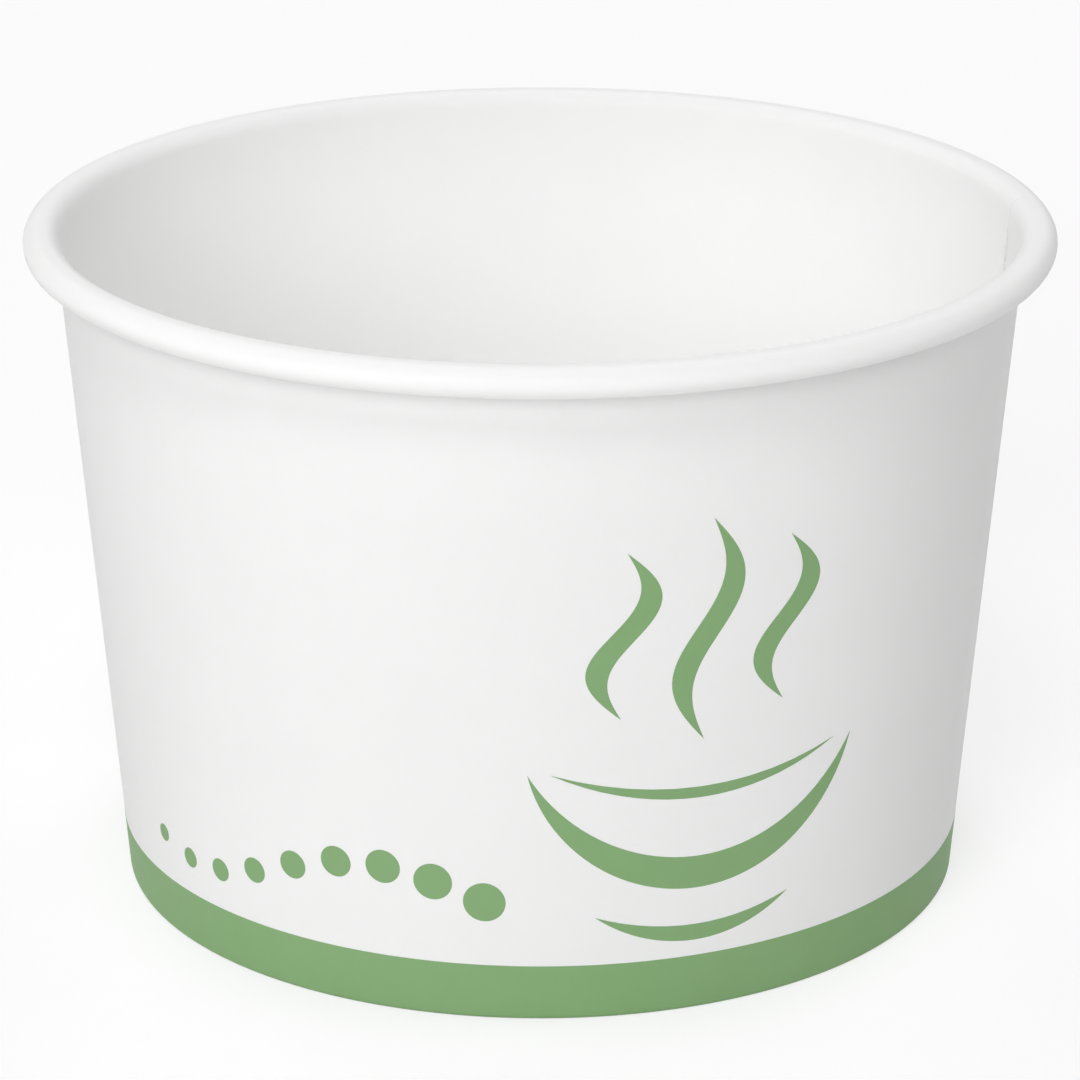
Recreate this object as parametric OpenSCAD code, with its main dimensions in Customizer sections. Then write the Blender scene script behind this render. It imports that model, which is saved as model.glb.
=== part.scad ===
// Paper food container, 8 oz size: a wall rolled up from coated board, a drawn board bottom, and green print.
// The origin is on the table, at the centre of the foot. The front of the print faces -Y.

/* [Board] */
// Thickness of the coated board of the wall
wall_t = 0.4; // [0.3:0.02:0.5]
// Thickness of the coated board of the bottom
bottom_t = 0.4; // [0.3:0.02:0.6]

/* [Body] */
// Inner diameter of the mouth, at mid height of the rolled rim
mouth_d = 84; // [78:0.5:96]
// Outer diameter of the foot
foot_d = 75; // [70:0.5:80]
// Height from the table to the top of the rim
body_h = 60; // [52:1:100]

/* [Rolled rim] */
// Width of the roll, from the mouth to its outer edge
roll_w = 3.2; // [2.9:0.1:4.2]
// Height of the roll
roll_h = 2.65; // [2.4:0.05:2.9]
// Outer radius of the end that is tucked into the roll
tuck_r = 0.95; // [0.8:0.05:1.1]
// Sweep of the tucked end, in degrees
tuck_sweep = 115; // [90:5:130]
// Gap between the tucked end and the wall
tuck_gap = 0.1; // [0.05:0.05:0.2]

/* [Foot] */
// Height of the bottom's upper face above the table
floor_h = 7; // [5:0.1:12]
// Outer radius of the shoulder where the bottom turns down into its skirt
shoulder_r = 0.9; // [0.7:0.1:1.4]
// Gap between that shoulder and the cut edge of the hem, the wall's own edge folded in behind the skirt
hem_gap = 0.45; // [0.1:0.05:2]
// Inner radius at the two corners of the fold
fold_r = 0.05; // [0.02:0.01:0.1]
// Gap on each side of the skirt, where the sealing layer sits
seal_gap = 0.03; // [0.02:0.01:0.06]
// Gap between the skirt's lower edge and the fold
skirt_gap = 0.15; // [0.1:0.05:0.5]

/* [Side seam] */
// Direction of the inner cut edge, in degrees from +X towards +Y
seam_angle = 7; // [-30:1:60]
// Width of the overlap
lap_w = 8; // [5:0.5:12]
// Width over which the outer layer climbs onto the inner one
ramp_w = 1.6; // [1:0.1:3]
// Share of the board's thickness that still shows as a step inside, once the seam is pressed
step_share = 0.75; // [0.4:0.05:0.9]
// Height at which the overlap starts, above the table
lap_foot = 1; // [0.8:0.1:3]
// Depth of the crease that the seam leaves on the roll
crease_depth = 0.1; // [0.06:0.02:0.2]
// Width of that crease
crease_w = 0.8; // [0.4:0.1:1.6]

/* [Print] */
// Thickness of the ink
ink_t = 0.05; // [0.04:0.01:0.1]
// Height of the band's upper edge above the table
band_h = 5.15; // [3:0.05:9]
// How far the band wraps under the foot, in degrees round the fold's corner
band_wrap = 60; // [30:5:70]
// Direction of the steaming bowl, in degrees from +X towards +Y
bowl_angle = 290; // [250:1:310]
// Height of the bowl's rim above the band
bowl_rim = 18; // [15:0.5:24]
// Width of the bowl
bowl_w = 29; // [20:0.5:34]
// Depth of the bowl
bowl_depth = 11.5; // [8:0.5:14]
// Width of the bowl's stroke where it is thickest
bowl_t = 3; // [1.6:0.1:4]
// Depth of the line across the bowl, which is its near lip
lip_depth = 3; // [2:0.1:4]
// Width of that line where it is thickest
lip_t = 1; // [0.6:0.1:1.6]
// How far the lip's points stay inside the bowl's
lip_gap = 1.8; // [1.2:0.1:3]
// Gap between the bowl and the points of the saucer
saucer_gap = 2; // [1:0.2:4]
// Width of the saucer
saucer_w = 17.4; // [10:0.2:24]
// Depth of the saucer
saucer_depth = 3; // [2:0.1:4]
// Width of the saucer's stroke where it is thickest
saucer_t = 1.5; // [0.8:0.1:1.8]
// Gap between the bowl's rim and the middle wisp of steam
steam_gap = 2.4; // [1:0.2:6]
// Height of the middle wisp
steam_h = 20; // [12:0.5:24]
// Height of the outer wisps
side_steam_h = 15; // [8:0.5:20]
// Distance between the wisps
steam_pitch = 7.2; // [6:0.2:10]
// Width of a wisp where it is thickest
wisp_t = 2.4; // [1.2:0.1:3]
// How far a wisp sways to each side
wisp_sway = 2.1; // [0.4:0.1:3]
// Direction of the last and largest dot in the row
dots_angle = 263; // [250:1:268]
// Number of dots
dots = 9; // [3:1:14]
// Degrees between two dots
dot_step = 6.5; // [6:0.5:8]
// Diameter of the largest dot
dot_d = 3.6; // [2:0.1:3.8]
// Diameter of the smallest dot
small_dot_d = 1.6; // [1:0.1:2]
// Height of the middle of the row above the band
dots_h = 6; // [5:0.5:12]
// How far the row rises and falls
dots_sway = 2.5; // [0:0.1:3]

/* [Hidden] */

board_white = "#F4F4F1";
print_green = "#83A873";
turned_fn = 240;      // surfaces turned round the axis
drawn_fn = 120;       // circles in the print
bend_step = 7.5;      // degrees between the points of a bend
wisp_steps = 16;      // points along half a wisp
ramp_cut = 1.3;       // the outer layer is cut off behind its ramp, at this many times the ramp's width
ramp_run = 1.4;       // and the ramp's slope runs on past both its ends, to this many times its width

// Radii and heights that the roll, the wall and the foot share
mouth_r = mouth_d / 2;
foot_r = foot_d / 2;
rim_r = mouth_r + roll_w;
roll_r = roll_h / 2;
roll_z = body_h - roll_r;
roll_low = body_h - roll_h;
bend_r = fold_r + wall_t;    // outer radius of the fold's corners

// Half cone angle of the wall, whose inner face passes the mouth and whose outer face passes the foot
wall_lean = mouth_r - foot_r;
cone_a = atan2(wall_lean, roll_z) + asin(wall_t / norm([wall_lean, roll_z]));
out_a = -cone_a;             // direction square out of the wall, in its section
in_a = 180 - cone_a;         // direction square into it

// Radius at height z of the face that lies the given depth of board behind the wall's outer face
function wall_at(z, depth = 0) = foot_r + tan(cone_a) * z - depth / cos(cone_a);

// Depth of each face behind the wall's outer face, where skirt and hem are stacked behind it
skirt_depth = wall_t + seal_gap;
hem_depth = skirt_depth + bottom_t + seal_gap;
foot_depth = hem_depth + wall_t;

// Centres of the bends
roll_in = [mouth_r + roll_r / cos(cone_a), roll_z];
roll_out = [rim_r - roll_r, roll_z];
tuck = [wall_at(roll_low + tuck_r) + tuck_gap + tuck_r, roll_low + tuck_r];
fold_out = [wall_at(bend_r) - bend_r / cos(cone_a), bend_r];
fold_in = [wall_at(bend_r, foot_depth) + bend_r / cos(cone_a), bend_r];
shoulder = [wall_at(floor_h - shoulder_r, skirt_depth) - shoulder_r / cos(cone_a), floor_h - shoulder_r];

// Ends of the skirt and of the hem, and the stretch of wall that the overlap covers
skirt_z = wall_t + skirt_gap;
hem_z = shoulder.y - shoulder_r * sin(cone_a) - hem_gap;
lap_top = roll_low - tuck_gap;

// Bent board is a list of bends that its first face follows: [centre, radius, from angle, to angle, side].
// The side is 1 where the board lies outside that radius, and -1 where it lies inside. A radius of 0 is a cut end.
wall_bends = [
    [[wall_at(hem_z, hem_depth), hem_z], 0, in_a, in_a, 1],
    [fold_in, fold_r, in_a, 270, 1],
    [fold_out, fold_r, 270, 360 + out_a, 1],
    [roll_in, roll_r, in_a, 90, -1],
    [roll_out, roll_r, 90, -90, -1],
    [tuck, tuck_r, -90, -90 - tuck_sweep, -1]
];
bottom_bends = [
    [[0, floor_h], 0, 270, 270, 1],
    [shoulder, shoulder_r, 90, out_a, -1],
    [[wall_at(skirt_z, skirt_depth), skirt_z], 0, in_a, in_a, 1]
];

function bend_point(bend, depth, angle) =
    bend[0] + (bend[1] + bend[4] * depth) * [cos(angle), sin(angle)];
function bend_face(bend, depth) =
    let (sweep = bend[3] - bend[2], steps = ceil(abs(sweep) / bend_step))
    [for (i = [0 : steps]) bend_point(bend, depth, bend[2] + sweep * i / max(steps, 1))];
function board_face(bends, depth) = [for (bend = bends) each bend_face(bend, depth)];
function reversed(list) = [for (i = [len(list) - 1 : -1 : 0]) list[i]];

// Section of the stretch between two depths of bent board
module layer(bends, from, to) {
    polygon(concat(board_face(bends, from), reversed(board_face(bends, to))));
}

// Section of the board of the wall between two heights and two depths
module wall_layer(z0, z1, from, to) {
    polygon([[wall_at(z0, from), z0], [wall_at(z1, from), z1], [wall_at(z1, to), z1], [wall_at(z0, to), z0]]);
}

// Prism along the wall at the seam. Its outline has +X along the wall, away from the overlap, and +Y out of it.
module seam_prism(z0, z1) {
    rotate([0, 0, seam_angle]) translate([foot_r, 0, 0]) rotate([0, cone_a, 0]) rotate([0, 0, -90])
        translate([0, 0, z0 / cos(cone_a)]) linear_extrude(height = (z1 - z0) / cos(cone_a)) children();
}

// Outline under or over the ramp, whose slope drops by the given height from the cut edge to the ramp's end
module ramp_side(start, drop, limit) {
    curve = foot_r - sqrt(pow(foot_r, 2) - pow(ramp_w, 2));   // how far the round wall falls away under the ramp
    run = ramp_w * ramp_run;
    slope = (drop + curve) / ramp_w;
    polygon([[-run, start + slope * run], [run, start - slope * run], [run, limit], [-run, limit]]);
}

// The outer layer of the side seam: the ramp that climbs onto the inner layer, and the overlap on top of it
module seam_layers(extra) {
    difference() {
        rotate([0, 0, seam_angle]) intersection() {
            rotate_extrude($fn = turned_fn) wall_layer(0, roll_z, -wall_t - extra, wall_t / 2);
            translate([0, -ramp_w * ramp_cut, lap_foot])
                cube([2 * rim_r, ramp_w * ramp_cut + lap_w, lap_top - lap_foot]);
        }
        seam_prism(-wall_t, body_h) ramp_side(wall_t + extra, wall_t, 3 * wall_t);
    }
}

// Inside, the ramp leaves a groove in front of the inner layer's cut edge
module seam_groove() {
    step = wall_t * step_share;
    seam_prism(floor_h, roll_z) intersection() {
        ramp_side(step - wall_t, step, -3 * wall_t);
        translate([0, -3 * wall_t]) square([2 * ramp_w, 3 * wall_t]);
    }
}

// The crease runs up from the groove and over the roll
module seam_crease() {
    width = crease_w / rim_r * 180 / PI;
    middle = seam_angle - ramp_w / 2 / mouth_r * 180 / PI;
    start = [[wall_at(roll_low, wall_t), roll_low], 0, in_a, in_a, -1];
    rotate([0, 0, middle - width / 2]) rotate_extrude(angle = width, $fn = turned_fn)
        layer([start, wall_bends[3], wall_bends[4]], crease_depth, -roll_r);
}

module sidewall() {
    color(board_white) difference() {
        union() {
            rotate_extrude($fn = turned_fn) layer(wall_bends, 0, wall_t);
            seam_layers(0);
        }
        seam_groove();
        seam_crease();
    }
}

module bottom_disc() {
    color(board_white) rotate_extrude($fn = turned_fn) layer(bottom_bends, 0, bottom_t);
}

// Everything inside the printed face of the wall, with that face moved out by the given amount. It starts the
// given degrees round the fold's corner, and ends at height z1.
module printed_body(extra, wrap, z0, z1) {
    face = bend_face([fold_out, bend_r, -wrap, out_a, 1], extra);
    rotate_extrude($fn = turned_fn)
        polygon(concat([[0, z0], [face[0].x, z0]], face, [[wall_at(z1, -extra), z1], [0, z1]]));
}

// The layer of ink over the whole wall and its seam
module ink_skin() {
    difference() {
        union() {
            printed_body(ink_t, band_wrap, fold_out.y - (bend_r + ink_t) * sin(band_wrap), roll_low);
            seam_layers(ink_t);
        }
        printed_body(0, 90, -ink_t, body_h);
        seam_layers(0);
    }
}

// A flat shape, drawn from the band's upper edge at the given direction, reaching through the ink
module at_wall(angle) {
    rotate([0, 0, angle]) translate([foot_r / 2, 0, band_h]) rotate([90, 0, 90])
        linear_extrude(height = foot_r) children();
}

// Crescent that hangs from its two points, width apart, down to the given depth. Both its circles pass the points,
// and the inner one, which is larger, takes away all that is above them.
module crescent(width, depth, thick) {
    outer_r = (pow(width / 2, 2) + pow(depth, 2)) / depth / 2;
    inner_r = (pow(width / 2, 2) + pow(depth - thick, 2)) / (depth - thick) / 2;
    difference() {
        translate([0, outer_r - depth]) circle(r = outer_r, $fn = drawn_fn);
        translate([0, inner_r - depth + thick]) circle(r = inner_r, $fn = drawn_fn);
    }
}

// A wisp of steam about the origin: it sways once to each side and runs out to a point at both ends
module wisp(height, sway, thick) {
    function edge(i, side) = let (t = i / wisp_steps)
        [sway * sin(180 * t) + side * thick / 2 * (1 - t * t), height / 2 * t];
    polygon(concat([for (i = [-wisp_steps : wisp_steps]) edge(i, 1)],
                   [for (i = [wisp_steps - 1 : -1 : 1 - wisp_steps]) edge(i, -1)]));
}

// A bowl on a saucer, with three wisps of steam
module steaming_bowl() {
    translate([0, bowl_rim]) {
        crescent(bowl_w, bowl_depth, bowl_t);
        crescent(bowl_w - 2 * lip_gap, lip_depth, lip_t);
    }
    translate([0, bowl_rim - bowl_depth - saucer_gap]) crescent(saucer_w, saucer_depth, saucer_t);
    for (side = [-1 : 1])
        translate([side * steam_pitch, bowl_rim + steam_gap + steam_h / 2])
            wisp(side == 0 ? steam_h : side_steam_h, wisp_sway, wisp_t);
}

// A row of dots that grow towards the bowl and rise and fall once
module dot_row() {
    for (i = [0 : dots - 1]) {
        size = dot_d + (small_dot_d - dot_d) * i / (dots - 1);
        at_wall(dots_angle - dot_step * i)
            translate([0, dots_h + dots_sway * sin(360 * i / dots)]) circle(d = size, $fn = drawn_fn / 2);
    }
}

module green_print() {
    color(print_green) intersection() {
        ink_skin();
        union() {
            translate([0, 0, -bend_r]) cylinder(h = bend_r + band_h, r = foot_d, $fn = turned_fn);
            at_wall(bowl_angle) steaming_bowl();
            dot_row();
        }
    }
}

sidewall();
bottom_disc();
green_print();
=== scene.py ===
import math
import bpy
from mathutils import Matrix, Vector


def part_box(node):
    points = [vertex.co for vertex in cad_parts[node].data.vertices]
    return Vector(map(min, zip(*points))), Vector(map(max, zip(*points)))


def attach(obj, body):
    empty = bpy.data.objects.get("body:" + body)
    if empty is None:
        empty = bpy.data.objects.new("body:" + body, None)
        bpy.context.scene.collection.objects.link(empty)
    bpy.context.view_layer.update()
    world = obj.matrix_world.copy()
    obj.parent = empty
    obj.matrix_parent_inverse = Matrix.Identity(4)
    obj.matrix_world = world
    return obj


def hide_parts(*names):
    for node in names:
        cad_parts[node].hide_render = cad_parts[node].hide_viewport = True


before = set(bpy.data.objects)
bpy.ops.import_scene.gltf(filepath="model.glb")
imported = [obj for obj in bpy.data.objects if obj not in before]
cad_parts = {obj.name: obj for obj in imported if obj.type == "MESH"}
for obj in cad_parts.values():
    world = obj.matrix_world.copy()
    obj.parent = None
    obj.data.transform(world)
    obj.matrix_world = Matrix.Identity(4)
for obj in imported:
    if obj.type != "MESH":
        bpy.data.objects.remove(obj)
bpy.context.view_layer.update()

mm = 0.001

# Camera: where the photograph was taken from, looking along +Y
shot = {
    "lens": 157.9,
    "distance": 425.6 * mm,
    "lift": 19.87,           # degrees above the table
    "aimHeight": 30 * mm,
    "shiftX": -0.0002,
    "shiftY": -0.0044,
}


def addCamera():
    lift = math.radians(shot["lift"])
    place = (0, -shot["distance"] * math.cos(lift), shot["aimHeight"] + shot["distance"] * math.sin(lift))
    bpy.ops.object.camera_add(location=place, rotation=(math.pi / 2 - lift, 0, 0))
    camera = bpy.context.object
    camera.name = "shotCamera"
    camera.data.lens = shot["lens"]
    camera.data.shift_x = shot["shiftX"]
    camera.data.shift_y = shot["shiftY"]
    bpy.context.scene.camera = camera


addCamera()
print("camera ready")

# Board and its bends, as the solids have them. The rim's edge and the height come from the frame.
cup = {
    "wallBoard": 0.4 * mm,
    "bottomBoard": 0.4 * mm,
    "footRadius": 37.5 * mm,
    "rollWide": 3.2 * mm,
    "rollHigh": 2.65 * mm,
    "tuckRadius": 0.95 * mm,
    "tuckSweep": 115,
    "tuckGap": 0.1 * mm,
    "floorHeight": 7 * mm,
    "shoulderRadius": 0.9 * mm,
    "hemGap": 0.45 * mm,
    "foldRadius": 0.05 * mm,
    "sealGap": 0.03 * mm,
    "skirtGap": 0.15 * mm,
}

wallBoard = cup["wallBoard"]
footRadius = cup["footRadius"]
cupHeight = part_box("sidewall")[1][2]
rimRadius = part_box("sidewall")[1][0]
mouthRadius = rimRadius - cup["rollWide"]
rollRadius = cup["rollHigh"] / 2
rollHeight = cupHeight - rollRadius     # of the roll's middle
rollLow = cupHeight - cup["rollHigh"]
foldOuter = cup["foldRadius"] + wallBoard
outerReach = wallBoard * 0.9            # behind the wall's outer face, and still counted as that face

# Cone of the wall: its inner face passes the mouth, and its outer face passes the foot
wallLean = mouthRadius - footRadius
coneAngle = math.atan2(wallLean, rollHeight) + math.asin(wallBoard / math.hypot(wallLean, rollHeight))
coneDegrees = math.degrees(coneAngle)
inward = 180 - coneDegrees              # direction square into the wall, in its section


def wallAt(z, depth=0):
    # radius of the face that lies depth behind the wall's outer face
    return footRadius + math.tan(coneAngle) * z - depth / math.cos(coneAngle)


def onOuterFace(place):
    return math.hypot(place[0], place[1]) > wallAt(place[2], outerReach)


def onBend(centre, radius, degrees):
    turn = math.radians(degrees)
    return (centre[0] + radius * math.cos(turn), centre[1] + radius * math.sin(turn))


skirtDepth = wallBoard + cup["sealGap"]
hemDepth = skirtDepth + cup["bottomBoard"] + cup["sealGap"]
footDepth = hemDepth + wallBoard

rollIn = (mouthRadius + rollRadius / math.cos(coneAngle), rollHeight)
rollOut = (rimRadius - rollRadius, rollHeight)
tuckHeight = rollLow + cup["tuckRadius"]
tuck = (wallAt(tuckHeight) + cup["tuckGap"] + cup["tuckRadius"], tuckHeight)
foldOut = (wallAt(foldOuter) - foldOuter / math.cos(coneAngle), foldOuter)
foldIn = (wallAt(foldOuter, footDepth) + foldOuter / math.cos(coneAngle), foldOuter)
shoulderHeight = cup["floorHeight"] - cup["shoulderRadius"]
shoulder = (wallAt(shoulderHeight, skirtDepth) - cup["shoulderRadius"] / math.cos(coneAngle), shoulderHeight)
skirtEnd = wallBoard + cup["skirtGap"]
hemEnd = shoulderHeight - cup["shoulderRadius"] * math.sin(coneAngle) - cup["hemGap"]


# Drawing an outline: one vertex is extruded along lines and spun round bends, in the plane of X and Z
bendStep = 7.5                          # degrees, at most, between two edges of a bend
mergeWithin = 0.001 * mm
leastWeight = 0.001                     # of a vertex that a press moves at all
smoothBelow = 35                        # degrees between two faces; a sharper edge stays hard


def takeUp(piece):
    bpy.ops.object.select_all(action="DESELECT")
    piece.select_set(True)
    bpy.context.view_layer.objects.active = piece


def smoothFaces():
    bpy.ops.object.shade_smooth_by_angle(angle=math.radians(smoothBelow))


def startOutline(name, place):
    bpy.ops.object.select_all(action="DESELECT")
    bpy.ops.mesh.primitive_plane_add(size=mm, location=(0, 0, 0))
    piece = bpy.context.object
    piece.name = name
    piece.data.name = name
    bpy.ops.object.mode_set(mode="EDIT")
    bpy.ops.mesh.merge(type="CENTER")
    bpy.ops.transform.translate(value=(place[0], 0, place[1]))
    return piece


def drawLine(start, end, cuts=1):
    step = ((end[0] - start[0]) / cuts, 0, (end[1] - start[1]) / cuts)
    for _ in range(cuts):
        bpy.ops.mesh.extrude_region_move(TRANSFORM_OT_translate={"value": step})
    return end


def drawBend(centre, radius, fromDegrees, toDegrees, stepDegrees=bendStep):
    sweep = toDegrees - fromDegrees
    bpy.ops.mesh.spin(steps=math.ceil(abs(sweep) / stepDegrees), angle=math.radians(sweep),
                      center=(centre[0], 0, centre[1]), axis=(0, 1, 0))
    return onBend(centre, radius, toDegrees)


def drawBoard(start, bends):
    # each bend is (centre, radius, from, to, cuts in the line before it); a radius of 0 is a plain point
    pen = start
    for centre, radius, fromDegrees, toDegrees, cuts in bends:
        pen = drawLine(pen, onBend(centre, radius, fromDegrees), cuts)
        if radius:
            pen = drawBend(centre, radius, fromDegrees, toDegrees)


def turnRound(stops):
    # spins what is drawn round the axis, from stop to stop; each stop is (degrees, steps to get there)
    bpy.ops.mesh.select_all(action="SELECT")
    last = 0
    for degrees, steps in stops:
        bpy.ops.mesh.spin(steps=steps, angle=-math.radians(degrees - last), center=(0, 0, 0), axis=(0, 0, 1))
        last = degrees
    bpy.ops.mesh.select_all(action="SELECT")
    bpy.ops.mesh.remove_doubles(threshold=mergeWithin)


def faceOut(piece, place, direction):
    # turns an open sheet over if its face nearest to place doesn't point in the given direction
    bpy.ops.object.mode_set(mode="OBJECT")
    nearest = min(piece.data.polygons, key=lambda face: math.dist(face.center, place))
    if sum(a * b for a, b in zip(nearest.normal, direction)) < 0:
        bpy.ops.object.mode_set(mode="EDIT")
        bpy.ops.mesh.select_all(action="SELECT")
        bpy.ops.mesh.flip_normals()
        bpy.ops.object.mode_set(mode="OBJECT")


def thicken(piece, thickness, side, offSlot=0, rimSlot=0):
    # side -1 grows against the normals, and 1 along them
    solid = piece.modifiers.new("thickness", "SOLIDIFY")
    solid.thickness = thickness
    solid.offset = side
    solid.use_even_offset = True
    solid.use_rim = True
    solid.material_offset = offSlot
    solid.material_offset_rim = rimSlot
    bpy.ops.object.modifier_apply(modifier=solid.name)


def slotVertices(piece, slot):
    return {index for face in piece.data.polygons if face.material_index == slot for index in face.vertices}


def press(piece, name, depth, slot, share):
    # moves one side of the board along its normals, by depth times each vertex's share
    group = piece.vertex_groups.new(name=name)
    for index in slotVertices(piece, slot):
        weight = share(piece.data.vertices[index].co)
        if weight > leastWeight:
            group.add([index], weight, "REPLACE")
    push = piece.modifiers.new(name, "DISPLACE")
    push.strength = depth
    push.mid_level = 0
    push.vertex_group = name
    bpy.ops.object.modifier_apply(modifier=name)
    piece.vertex_groups.remove(piece.vertex_groups[name])


def smoothStep(value, low, high):
    share = min(max((value - low) / (high - low), 0), 1)
    return share * share * (3 - 2 * share)


def azimuth(place):
    return math.degrees(math.atan2(place[1], place[0]))


# Side seam
seam = {
    "angle": 7,              # degrees of the inner cut edge, from +X towards +Y
    "lap": 8 * mm,
    "ramp": 1.6 * mm,
    "lift": 0.4 * mm,        # of the outer layer, outside
    "liftStart": 0.5 * mm,   # heights between which the lift begins
    "liftFull": 1.5 * mm,
    "liftFade": 0.6 * mm,    # below the roll, where it ends
    "groove": 0.3 * mm,      # in front of the inner cut edge, inside
    "grooveStart": 2 * mm,   # depths below the floor between which the groove begins
    "grooveFull": 1 * mm,
    "grooveEnd": 0.4 * mm,   # inside the rim's edge, where it runs out over the roll
    "creaseShare": 0.04,     # of the groove's depth that shows on the roll
    "pressed": 4 * mm,       # depths below the roll's middle between which rolling has flattened the groove
    "pressedFull": 1 * mm,
    "edgeStart": 1 * mm,     # height from which the outer cut edge shows
    "edgeShare": 0.03,       # of the groove's depth, above which the inner cut edge shows
    "parts": 10,             # steps across the ramp, and across the overlap
    "stepsBefore": 5,        # from +X to the ramp
    "stepsRound": 378,       # from the overlap round to +X
}
degreesPerLength = math.degrees(1 / (0.5 * (footRadius + mouthRadius)))
lapDegrees = seam["lap"] * degreesPerLength
rampDegrees = seam["ramp"] * degreesPerLength
cutDegrees = 0.06                       # over which a cut edge drops
foodSide, printSide, cutSide = 0, 1, 2  # material slots of the wall


def seamOffset(place):
    return (azimuth(place) - seam["angle"] + 180) % 360 - 180


def lapShare(place):
    # outside: up the ramp, over the overlap and down the outer cut edge
    offset = seamOffset(place)
    across = smoothStep(offset, -rampDegrees, 0) * (1 - min(max((offset - lapDegrees) / cutDegrees, 0), 1))
    along = smoothStep(place[2], seam["liftStart"], seam["liftFull"])
    along *= 1 - smoothStep(place[2], rollLow - seam["liftFade"], rollLow)
    return across * along if onOuterFace(place) else 0


def grooveShare(place):
    # inside: down the ramp, and back up the inner cut edge
    offset = seamOffset(place)
    if offset < -rampDegrees or offset > cutDegrees:
        return 0
    across = (1 + offset / rampDegrees) if offset < 0 else 1 - offset / cutDegrees
    radius = math.hypot(place[0], place[1])
    if place[2] < rollHeight and radius > wallAt(place[2]):
        return 0                        # the roll's outer side, which the groove doesn't reach
    along = smoothStep(place[2], cup["floorHeight"] - seam["grooveStart"],
                       cup["floorHeight"] - seam["grooveFull"])
    pressed = smoothStep(place[2], rollHeight - seam["pressed"], rollHeight - seam["pressedFull"])
    over = 1 - smoothStep(radius, rollIn[0], rimRadius - seam["grooveEnd"])
    return across * along * (1 - (1 - seam["creaseShare"]) * pressed) * over


def seamStops():
    # stops of the spin, close together at the two cut edges
    parts = seam["parts"]
    beside = 3 * cutDegrees
    ramp = [-rampDegrees * (1 - i / parts) for i in range(parts)]
    inner = [0, cutDegrees / 2, cutDegrees, beside]
    lap = [lapDegrees * i / parts for i in range(1, parts)] + [lapDegrees - beside]
    outer = [lapDegrees, lapDegrees + cutDegrees / 2, lapDegrees + cutDegrees, lapDegrees + beside]
    stops = [(seam["angle"] + offset, 1) for offset in ramp + inner + lap + outer]
    return [(stops[0][0], seam["stepsBefore"])] + stops[1:] + [(360, seam["stepsRound"])]


# Hem: the rolling tool leaves shallow flutes on its inner face
hem = {
    "flutes": 105,
    "fluteDepth": 0.06 * mm,
    "fluteStart": 0.7 * mm,  # heights between which the flutes begin
    "fluteFull": 1.3 * mm,
    "fluteFade": 1 * mm,     # below the hem's edge, where they end
}


def fluteShare(place):
    radius = math.hypot(place[0], place[1])
    if radius > wallAt(place[2], hemDepth):
        return 0
    wave = 0.5 - 0.5 * math.cos(math.radians(hem["flutes"] * azimuth(place)))
    along = smoothStep(place[2], hem["fluteStart"], hem["fluteFull"])
    return wave * along * (1 - smoothStep(place[2], hemEnd - hem["fluteFade"], hemEnd))


def makeSideWall():
    start = (wallAt(hemEnd, hemDepth), hemEnd)
    evenEnd = rollLow - mm              # of the wall's evenly cut part
    piece = startOutline("sideWall", start)
    drawBoard(start, [
        (foldIn, cup["foldRadius"], inward, 270, 6),
        (foldOut, cup["foldRadius"], 270, 360 - coneDegrees, 1),
        ((wallAt(seam["liftFull"], wallBoard), seam["liftFull"]), 0, 0, 0, 4),
        ((wallAt(evenEnd, wallBoard), evenEnd), 0, 0, 0, 14),
        (rollIn, rollRadius, inward, 90, 5),
        (rollOut, rollRadius, 90, -90, 1),
        (tuck, cup["tuckRadius"], -90, -90 - cup["tuckSweep"], 1),
    ])
    turnRound(seamStops())
    faceOut(piece, (-mouthRadius, 0, cupHeight / 2), (1, 0, 0))
    for _ in range(3):
        bpy.ops.object.material_slot_add()
    thicken(piece, wallBoard, -1, printSide, cutSide)
    press(piece, "lap", seam["lift"], printSide, lapShare)
    press(piece, "groove", -seam["groove"], foodSide, grooveShare)
    press(piece, "flutes", -hem["fluteDepth"], printSide, fluteShare)
    for face in piece.data.polygons:    # the seam's two cut edges
        offset = seamOffset(face.center)
        if face.material_index == printSide and lapDegrees < offset < lapDegrees + cutDegrees:
            if face.center[2] > seam["edgeStart"] and lapShare(face.center) > 0:
                face.material_index = cutSide
        if face.material_index == foodSide and 0 < offset < cutDegrees:
            if grooveShare(face.center) > seam["edgeShare"]:
                face.material_index = cutSide
    smoothFaces()
    return piece


sideWall = makeSideWall()
print("side wall:", len(sideWall.data.polygons), "faces")

# Bottom: one round of board, a little domed, with fine puckers where it is drawn down into its skirt
bottom = {
    "dome": 0.25 * mm,
    "domeEdge": 2 * mm,      # inside the middle of the shoulder's bend
    "puckers": 72,
    "puckerDepth": 0.035 * mm,
    "puckerInside": 2.2 * mm,    # where they start, inside that middle
    "puckerOutside": 0.5 * mm,   # where they are full, outside it
    "puckerFull": 2 * mm,    # below the floor, up to which they grow from the skirt's edge
    "flatEdge": 3 * mm,      # inside that middle, where the evenly cut part ends
}


def domeShare(place):
    across = math.hypot(place[0], place[1]) / (shoulder[0] - bottom["domeEdge"])
    return math.cos(math.pi / 2 * min(across, 1)) ** 2


def puckerShare(place):
    wave = (0.5 + 0.5 * math.cos(math.radians(bottom["puckers"] * azimuth(place)))) ** 2
    edge = smoothStep(math.hypot(place[0], place[1]), shoulder[0] - bottom["puckerInside"],
                      shoulder[0] + bottom["puckerOutside"])
    return wave * edge * smoothStep(place[2], skirtEnd, cup["floorHeight"] - bottom["puckerFull"])


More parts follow.
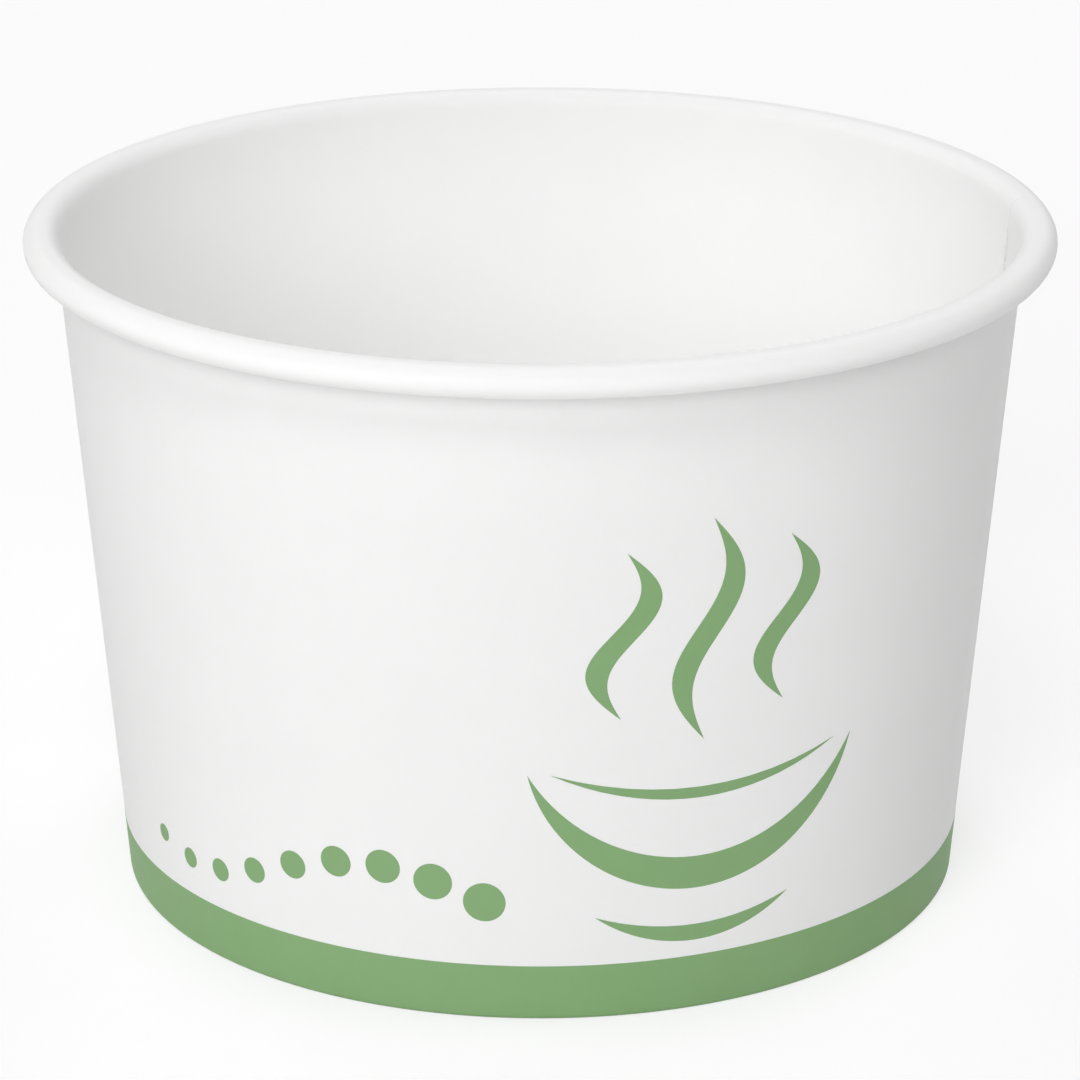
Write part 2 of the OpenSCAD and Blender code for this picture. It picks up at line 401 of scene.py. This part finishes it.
def makeBottomDisc():
    start = (0, cup["floorHeight"])
    piece = startOutline("bottomDisc", start)
    drawBoard(start, [
        ((shoulder[0] - bottom["flatEdge"], cup["floorHeight"]), 0, 0, 0, 12),
        (shoulder, cup["shoulderRadius"], 90, -coneDegrees, 5),
        ((wallAt(skirtEnd, skirtDepth), skirtEnd), 0, 0, 0, 8),
    ])
    turnRound([(360, 360)])
    faceOut(piece, (0, 0, cup["floorHeight"]), (0, 0, 1))
    for _ in range(2):
        bpy.ops.object.material_slot_add()
    thicken(piece, cup["bottomBoard"], -1, 0, 1)
    press(piece, "puckers", -bottom["puckerDepth"], 0, puckerShare)
    dome = piece.modifiers.new("dome", "DISPLACE")
    dome.direction = "Z"
    dome.mid_level = 0
    dome.strength = bottom["dome"]
    group = piece.vertex_groups.new(name="dome")
    for vertex in piece.data.vertices:
        group.add([vertex.index], domeShare(vertex.co), "REPLACE")
    dome.vertex_group = "dome"
    bpy.ops.object.modifier_apply(modifier="dome")
    piece.vertex_groups.remove(piece.vertex_groups["dome"])
    smoothFaces()
    return piece


bottomDisc = makeBottomDisc()
print("bottom disc:", len(bottomDisc.data.polygons), "faces")

# Ink: a skin on the wall's printed face. The print's own heights are above the band's upper edge.
ink = {
    "thick": 0.02 * mm,
    "bandHeight": 5.15 * mm,
    "bandUnder": 0.03 * mm,  # where the band ends, round the fold's corner
    "spare": 4 * mm,         # of wall copied above the band, before the band is cut
    "bendStep": 3,           # degrees between two edges of a printed bend
}
bowl = {
    "angle": 290,            # degrees from +X towards +Y
    "rimHeight": 18 * mm,
    "wide": 29 * mm,
    "deep": 11.5 * mm,
    "stroke": 3 * mm,
    "lipDeep": 3 * mm,
    "lipStroke": 1 * mm,
    "lipGap": 1.8 * mm,
    "saucerGap": 2 * mm,
    "saucerWide": 17.4 * mm,
    "saucerDeep": 3 * mm,
    "saucerStroke": 1.5 * mm,
    "reach": 35,             # degrees to each side, within which the wall is copied for it
    "top": 8 * mm,           # below the rim, up to which the wall is copied
}
steam = {
    "gap": 2.4 * mm,
    "high": 20 * mm,
    "sideHigh": 15 * mm,
    "pitch": 7.2 * mm,
    "stroke": 2.4 * mm,
    "sway": 2.1 * mm,
    "steps": 20,             # from the middle to each end
}
dotRow = {
    "angle": 263,            # of the largest dot, next to the bowl
    "count": 9,
    "step": 6.5,             # degrees
    "largest": 3.6 * mm,
    "smallest": 1.6 * mm,
    "height": 6 * mm,
    "sway": 2.5 * mm,
    "reach": 8,              # degrees past the last dots, within which the wall is copied for them
    "top": 20 * mm,          # above the table, up to which the wall is copied
    "edges": 64,
}


def inkSheet(name, keep):
    # a copy of the wall's printed face, only where keep says so
    takeUp(sideWall)
    bpy.ops.object.duplicate()
    piece = bpy.context.object
    piece.name = name
    piece.data.name = name
    bpy.ops.object.mode_set(mode="EDIT")
    bpy.ops.mesh.select_mode(type="FACE")
    bpy.ops.mesh.select_all(action="DESELECT")
    bpy.ops.object.mode_set(mode="OBJECT")
    for face in piece.data.polygons:
        face.select = not (face.material_index == printSide and keep(face.center))
    bpy.ops.object.mode_set(mode="EDIT")
    bpy.ops.mesh.delete(type="FACE")
    bpy.ops.mesh.select_mode(type="VERT")
    bpy.ops.object.mode_set(mode="OBJECT")
    piece.data.materials.clear()
    return piece


def makeFootBand():
    top = ink["bandHeight"] + ink["spare"]
    piece = inkSheet("footBand", lambda place: onOuterFace(place) and place[2] < top)
    bpy.ops.object.mode_set(mode="EDIT")
    bpy.ops.mesh.select_all(action="SELECT")
    bpy.ops.mesh.bisect(plane_co=(0, 0, ink["bandHeight"]), plane_no=(0, 0, 1), clear_outer=True)
    bpy.ops.mesh.select_all(action="SELECT")
    bpy.ops.mesh.bisect(plane_co=(0, 0, ink["bandUnder"]), plane_no=(0, 0, 1), clear_inner=True)
    bpy.ops.object.mode_set(mode="OBJECT")
    thicken(piece, ink["thick"], 1)
    return piece


def closeOutline(piece, angle, height):
    # fills the drawn outline, makes it a solid that reaches through the wall, and turns it to its place
    bpy.ops.mesh.select_all(action="SELECT")
    bpy.ops.mesh.remove_doubles(threshold=mergeWithin)
    bpy.ops.mesh.edge_face_add()
    bpy.ops.transform.translate(value=(0, -footRadius / 2, height))
    bpy.ops.mesh.extrude_region_move(TRANSFORM_OT_translate={"value": (0, -footRadius, 0)})
    bpy.ops.mesh.select_all(action="SELECT")
    bpy.ops.mesh.normals_make_consistent(inside=False)
    bpy.ops.object.mode_set(mode="OBJECT")
    piece.rotation_euler[2] = math.radians(angle - 270)
    return piece


def crescent(width, depth, thick, height):
    # hangs from its two points, which are width apart at the given height
    piece = startOutline("stencil", (-width / 2, 0))
    outer = ((width / 2) ** 2 + depth ** 2) / depth / 2
    inner = ((width / 2) ** 2 + (depth - thick) ** 2) / (depth - thick) / 2
    outerEnd = math.degrees(math.asin(width / 2 / outer))
    innerEnd = math.degrees(math.asin(width / 2 / inner))
    drawBend((0, outer - depth), outer, 270 - outerEnd, 270 + outerEnd, ink["bendStep"])
    drawBend((0, inner - depth + thick), inner, 270 + innerEnd, 270 - innerEnd, ink["bendStep"])
    return closeOutline(piece, bowl["angle"], ink["bandHeight"] + height)


def wisp(high, sway, thick, across, height):
    # sways once to each side, and runs out to a point at both ends
    steps = steam["steps"]

    def edge(share, side):
        swayed = across + sway * math.sin(math.pi * share)
        return (swayed + side * thick / 2 * (1 - share * share), high / 2 * share)

    shares = [i / steps for i in range(-steps, steps + 1)]
    outline = [edge(share, 1) for share in shares] + [edge(share, -1) for share in reversed(shares[:-1])]
    piece = startOutline("stencil", outline[0])
    for start, end in zip(outline, outline[1:]):
        drawLine(start, end)
    return closeOutline(piece, bowl["angle"], ink["bandHeight"] + height)


def dot(number):
    size = dotRow["largest"] + (dotRow["smallest"] - dotRow["largest"]) * number / (dotRow["count"] - 1)
    rise = dotRow["sway"] * math.sin(2 * math.pi * number / dotRow["count"])
    place = (0, -footRadius, ink["bandHeight"] + dotRow["height"] + rise)
    bpy.ops.object.select_all(action="DESELECT")
    bpy.ops.mesh.primitive_cylinder_add(vertices=dotRow["edges"], radius=size / 2, depth=footRadius,
                                        location=place, rotation=(math.pi / 2, 0, 0))
    bpy.ops.object.transform_apply(location=True, rotation=True)
    piece = bpy.context.object
    piece.rotation_euler[2] = math.radians(dotRow["angle"] - dotRow["step"] * number - 270)
    return piece


def cutInk(name, stencils, fromDegrees, toDegrees, top):
    # keeps the ink only where the stencils are
    def keep(place):
        return (onOuterFace(place) and ink["bandHeight"] < place[2] < top
                and fromDegrees < azimuth(place) % 360 < toDegrees)

    bpy.ops.object.select_all(action="DESELECT")
    for stencil in stencils:
        stencil.select_set(True)
    bpy.context.view_layer.objects.active = stencils[0]
    bpy.ops.object.join()
    stencil = bpy.context.object
    piece = inkSheet(name, keep)
    thicken(piece, ink["thick"], 1)
    cut = piece.modifiers.new("cut", "BOOLEAN")
    cut.operation = "INTERSECT"
    cut.solver = "EXACT"
    cut.object = stencil
    bpy.ops.object.modifier_apply(modifier="cut")
    bpy.data.objects.remove(stencil)
    return piece


def makeBowlPrint():
    rim = bowl["rimHeight"]
    saucer = rim - bowl["deep"] - bowl["saucerGap"]
    stencils = [
        crescent(bowl["wide"], bowl["deep"], bowl["stroke"], rim),
        crescent(bowl["wide"] - 2 * bowl["lipGap"], bowl["lipDeep"], bowl["lipStroke"], rim),
        crescent(bowl["saucerWide"], bowl["saucerDeep"], bowl["saucerStroke"], saucer),
    ]
    for side, high in ((-1, steam["sideHigh"]), (0, steam["high"]), (1, steam["sideHigh"])):
        stencils.append(wisp(high, steam["sway"], steam["stroke"], side * steam["pitch"],
                             rim + steam["gap"] + steam["high"] / 2))
    return cutInk("bowlPrint", stencils, bowl["angle"] - bowl["reach"], bowl["angle"] + bowl["reach"],
                  cupHeight - bowl["top"])


def makeDotPrint():
    last = dotRow["angle"] - dotRow["step"] * (dotRow["count"] - 1)
    dots = [dot(number) for number in range(dotRow["count"])]
    return cutInk("dotPrint", dots, last - dotRow["reach"], dotRow["angle"] + dotRow["reach"], dotRow["top"])


footBand = makeFootBand()
bowlPrint = makeBowlPrint()
dotPrint = makeDotPrint()
for piece in (footBand, bowlPrint, dotPrint):
    takeUp(piece)
    smoothFaces()
    print(piece.name + ":", len(piece.data.polygons), "faces")


# Materials

def newGroup(name, inputs, outputs):
    group = bpy.data.node_groups.new(name, "ShaderNodeTree")
    for label, value in inputs:
        socket = group.interface.new_socket(label, in_out="INPUT", socket_type="NodeSocketFloat")
        socket.default_value = value
    for label in outputs:
        group.interface.new_socket(label, in_out="OUTPUT", socket_type="NodeSocketFloat")
    return group


fibreNoise = {
    "roughness": 0.6,
    "cloudDetail": 4,
    "fibreDetail": 3,
    "low": 0.3,              # of the noise, where the finish is at its smoothest
    "high": 0.7,
}


def makeFibreGroup():
    # board under its coating: a cloudy formation, and short fibres that lie in all directions
    group = newGroup("boardFibre", [("Cloud Size", 6 * mm), ("Fibre Size", 0.12 * mm)], ["Cloud", "Fibre"])
    nodes, links = group.nodes, group.links
    given = nodes.new("NodeGroupInput")
    result = nodes.new("NodeGroupOutput")
    place = nodes.new("ShaderNodeTexCoord")
    for label, detail, output in (("Cloud Size", fibreNoise["cloudDetail"], "Cloud"),
                                  ("Fibre Size", fibreNoise["fibreDetail"], "Fibre")):
        scale = nodes.new("ShaderNodeMath")
        scale.operation = "DIVIDE"
        scale.inputs[0].default_value = 1
        noise = nodes.new("ShaderNodeTexNoise")
        noise.inputs["Detail"].default_value = detail
        noise.inputs["Roughness"].default_value = fibreNoise["roughness"]
        links.new(given.outputs[label], scale.inputs[1])
        links.new(place.outputs["Object"], noise.inputs["Vector"])
        links.new(scale.outputs[0], noise.inputs["Scale"])
        links.new(noise.outputs["Fac"], result.inputs[output])
    return group


fibreGroup = makeFibreGroup()


def boardMaterial(name, finish):
    material = bpy.data.materials.new(name)
    material.use_nodes = True
    nodes, links = material.node_tree.nodes, material.node_tree.links
    surface = nodes["Principled BSDF"]
    fibre = nodes.new("ShaderNodeGroup")
    fibre.node_tree = fibreGroup
    fibre.inputs["Cloud Size"].default_value = finish["cloudSize"]
    fibre.inputs["Fibre Size"].default_value = finish["fibreSize"]
    tone = nodes.new("ShaderNodeMix")
    tone.data_type = "RGBA"
    tone.inputs["A"].default_value = (*finish["dark"], 1)
    tone.inputs["B"].default_value = (*finish["light"], 1)
    links.new(fibre.outputs["Cloud"], tone.inputs["Factor"])
    links.new(tone.outputs["Result"], surface.inputs["Base Color"])
    gloss = nodes.new("ShaderNodeMapRange")
    gloss.inputs["From Min"].default_value = fibreNoise["low"]
    gloss.inputs["From Max"].default_value = fibreNoise["high"]
    gloss.inputs["To Min"].default_value = finish["roughness"][0]
    gloss.inputs["To Max"].default_value = finish["roughness"][1]
    links.new(fibre.outputs["Fibre"], gloss.inputs["Value"])
    links.new(gloss.outputs["Result"], surface.inputs["Roughness"])
    bump = nodes.new("ShaderNodeBump")
    bump.inputs["Strength"].default_value = finish["bump"]
    bump.inputs["Distance"].default_value = finish["bumpDepth"]
    links.new(fibre.outputs["Fibre"], bump.inputs["Height"])
    links.new(bump.outputs["Normal"], surface.inputs["Normal"])
    surface.inputs["Specular IOR Level"].default_value = finish["specular"]
    return material


foodCoat = boardMaterial("foodCoatedBoard", {
    "light": (0.955, 0.955, 0.952), "dark": (0.935, 0.935, 0.932),
    "roughness": (0.58, 0.66), "specular": 0.22,
    "cloudSize": 7 * mm, "fibreSize": 0.35 * mm, "bump": 0.25, "bumpDepth": 0.012 * mm,
})
printCoat = boardMaterial("printCoatedBoard", {
    "light": (0.915, 0.915, 0.912), "dark": (0.89, 0.89, 0.887),
    "roughness": (0.6, 0.7), "specular": 0.25,
    "cloudSize": 6 * mm, "fibreSize": 0.25 * mm, "bump": 0.3, "bumpDepth": 0.012 * mm,
})
cutBoard = boardMaterial("cutBoard", {
    "light": (0.78, 0.77, 0.745), "dark": (0.62, 0.605, 0.575),
    "roughness": (0.85, 0.95), "specular": 0.2,
    "cloudSize": 0.6 * mm, "fibreSize": 0.06 * mm, "bump": 0.8, "bumpDepth": 0.03 * mm,
})
bottomCoat = boardMaterial("bottomCoatedBoard", {
    "light": (0.905, 0.905, 0.9), "dark": (0.875, 0.875, 0.87),
    "roughness": (0.42, 0.5), "specular": 0.35,
    "cloudSize": 8 * mm, "fibreSize": 0.35 * mm, "bump": 0.3, "bumpDepth": 0.012 * mm,
})
greenInk = boardMaterial("greenInk", {
    "light": (0.245, 0.418, 0.189), "dark": (0.226, 0.393, 0.173),
    "roughness": (0.5, 0.6), "specular": 0.3,
    "cloudSize": 3 * mm, "fibreSize": 0.25 * mm, "bump": 0.3, "bumpDepth": 0.012 * mm,
})

for piece, materials in ((sideWall, (foodCoat, printCoat, cutBoard)), (bottomDisc, (bottomCoat, cutBoard))):
    for slot, material in enumerate(materials):
        piece.data.materials[slot] = material
for piece in (footBand, bowlPrint, dotPrint):
    piece.data.materials.append(greenInk)
print("materials ready")

# Studio
studio = {
    "world": 0.02,
    "floorSize": 6,
    "floorGap": 0.02 * mm,   # below the foot, so that no two faces share a plane
    "floorTone": 0.85,       # of the floor that bounces light back at the cup
    "floorGlow": 0.7,        # of the white floor in view; the rest of it takes the cup's shadow
}
# Each lamp's azimuth from the front towards the left, elevation, distance, size and power
lamps = {
    "topLamp": (10, 58, 1.2, 0.3, 3.4),
    "keyLamp": (20, 28, 1.2, 0.6, 4.4),
    "frontLamp": (10, 22, 1.2, 0.6, 3.1),
    "leftLamp": (90, 30, 1.2, 0.6, 1.8),
    "highLeftLamp": (110, 45, 1.2, 0.6, 1.2),
    "rightLamp": (-90, 30, 1.2, 0.6, 2.7),
    "backLeftLamp": (150, 40, 1.2, 0.6, 3.3),
    "backRightLamp": (-140, 40, 1.2, 0.6, 3.6),
}


def cameraSees(nodes, links):
    # 1 for camera, mirror and glass rays, which then show a white background
    path = nodes.new("ShaderNodeLightPath")
    total = path.outputs["Is Camera Ray"]
    for label in ("Is Glossy Ray", "Is Transmission Ray"):
        most = nodes.new("ShaderNodeMath")
        most.operation = "MAXIMUM"
        links.new(total, most.inputs[0])
        links.new(path.outputs[label], most.inputs[1])
        total = most.outputs[0]
    return total


def makeWorld():
    world = bpy.data.worlds.new("studioWorld")
    bpy.context.scene.world = world
    world.use_nodes = True
    nodes, links = world.node_tree.nodes, world.node_tree.links
    fill = nodes["Background"]
    fill.inputs["Color"].default_value = (1, 1, 1, 1)
    fill.inputs["Strength"].default_value = studio["world"]
    seen = nodes.new("ShaderNodeBackground")
    seen.inputs["Color"].default_value = (1, 1, 1, 1)
    mix = nodes.new("ShaderNodeMixShader")
    path = nodes.new("ShaderNodeLightPath")
    links.new(path.outputs["Is Camera Ray"], mix.inputs[0])
    links.new(fill.outputs[0], mix.inputs[1])
    links.new(seen.outputs[0], mix.inputs[2])
    links.new(mix.outputs[0], nodes["World Output"].inputs["Surface"])


def makeFloor():
    bpy.ops.object.select_all(action="DESELECT")
    bpy.ops.mesh.primitive_plane_add(size=studio["floorSize"], location=(0, 0, -studio["floorGap"]))
    floor = bpy.context.object
    floor.name = "studioFloor"
    material = bpy.data.materials.new("paleFloor")
    material.use_nodes = True
    nodes, links = material.node_tree.nodes, material.node_tree.links
    nodes.remove(nodes["Principled BSDF"])
    matt = nodes.new("ShaderNodeBsdfDiffuse")
    matt.inputs["Color"].default_value = (studio["floorTone"],) * 3 + (1,)
    white = nodes.new("ShaderNodeBsdfDiffuse")
    white.inputs["Color"].default_value = (1, 1, 1, 1)
    glow = nodes.new("ShaderNodeEmission")
    inView = nodes.new("ShaderNodeMixShader")
    inView.inputs[0].default_value = studio["floorGlow"]
    links.new(white.outputs[0], inView.inputs[1])
    links.new(glow.outputs[0], inView.inputs[2])
    choose = nodes.new("ShaderNodeMixShader")
    links.new(cameraSees(nodes, links), choose.inputs[0])
    links.new(matt.outputs[0], choose.inputs[1])
    links.new(inView.outputs[0], choose.inputs[2])
    links.new(choose.outputs[0], nodes["Material Output"].inputs["Surface"])
    floor.data.materials.append(material)


def addLamps():
    for name, (left, up, distance, size, power) in lamps.items():
        left, up = math.radians(left), math.radians(up)
        place = (-distance * math.sin(left) * math.cos(up), -distance * math.cos(left) * math.cos(up),
                 distance * math.sin(up) + cupHeight / 2)
        bpy.ops.object.light_add(type="AREA", location=place, rotation=(math.pi / 2 - up, 0, -left))
        lamp = bpy.context.object
        lamp.name = name
        lamp.data.size = size
        lamp.data.energy = power


makeWorld()
makeFloor()
addLamps()
bpy.context.scene.view_settings.view_transform = "Standard"
print("studio ready")

for piece, node, slot in ((sideWall, "sidewall", "coated_board"), (bottomDisc, "bottom_disc", "bottom_board"),
                          (footBand, "green_print", "green_ink"), (bowlPrint, "green_print", "green_ink"),
                          (dotPrint, "green_print", "green_ink")):
    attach(piece, "root")
    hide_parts(node)
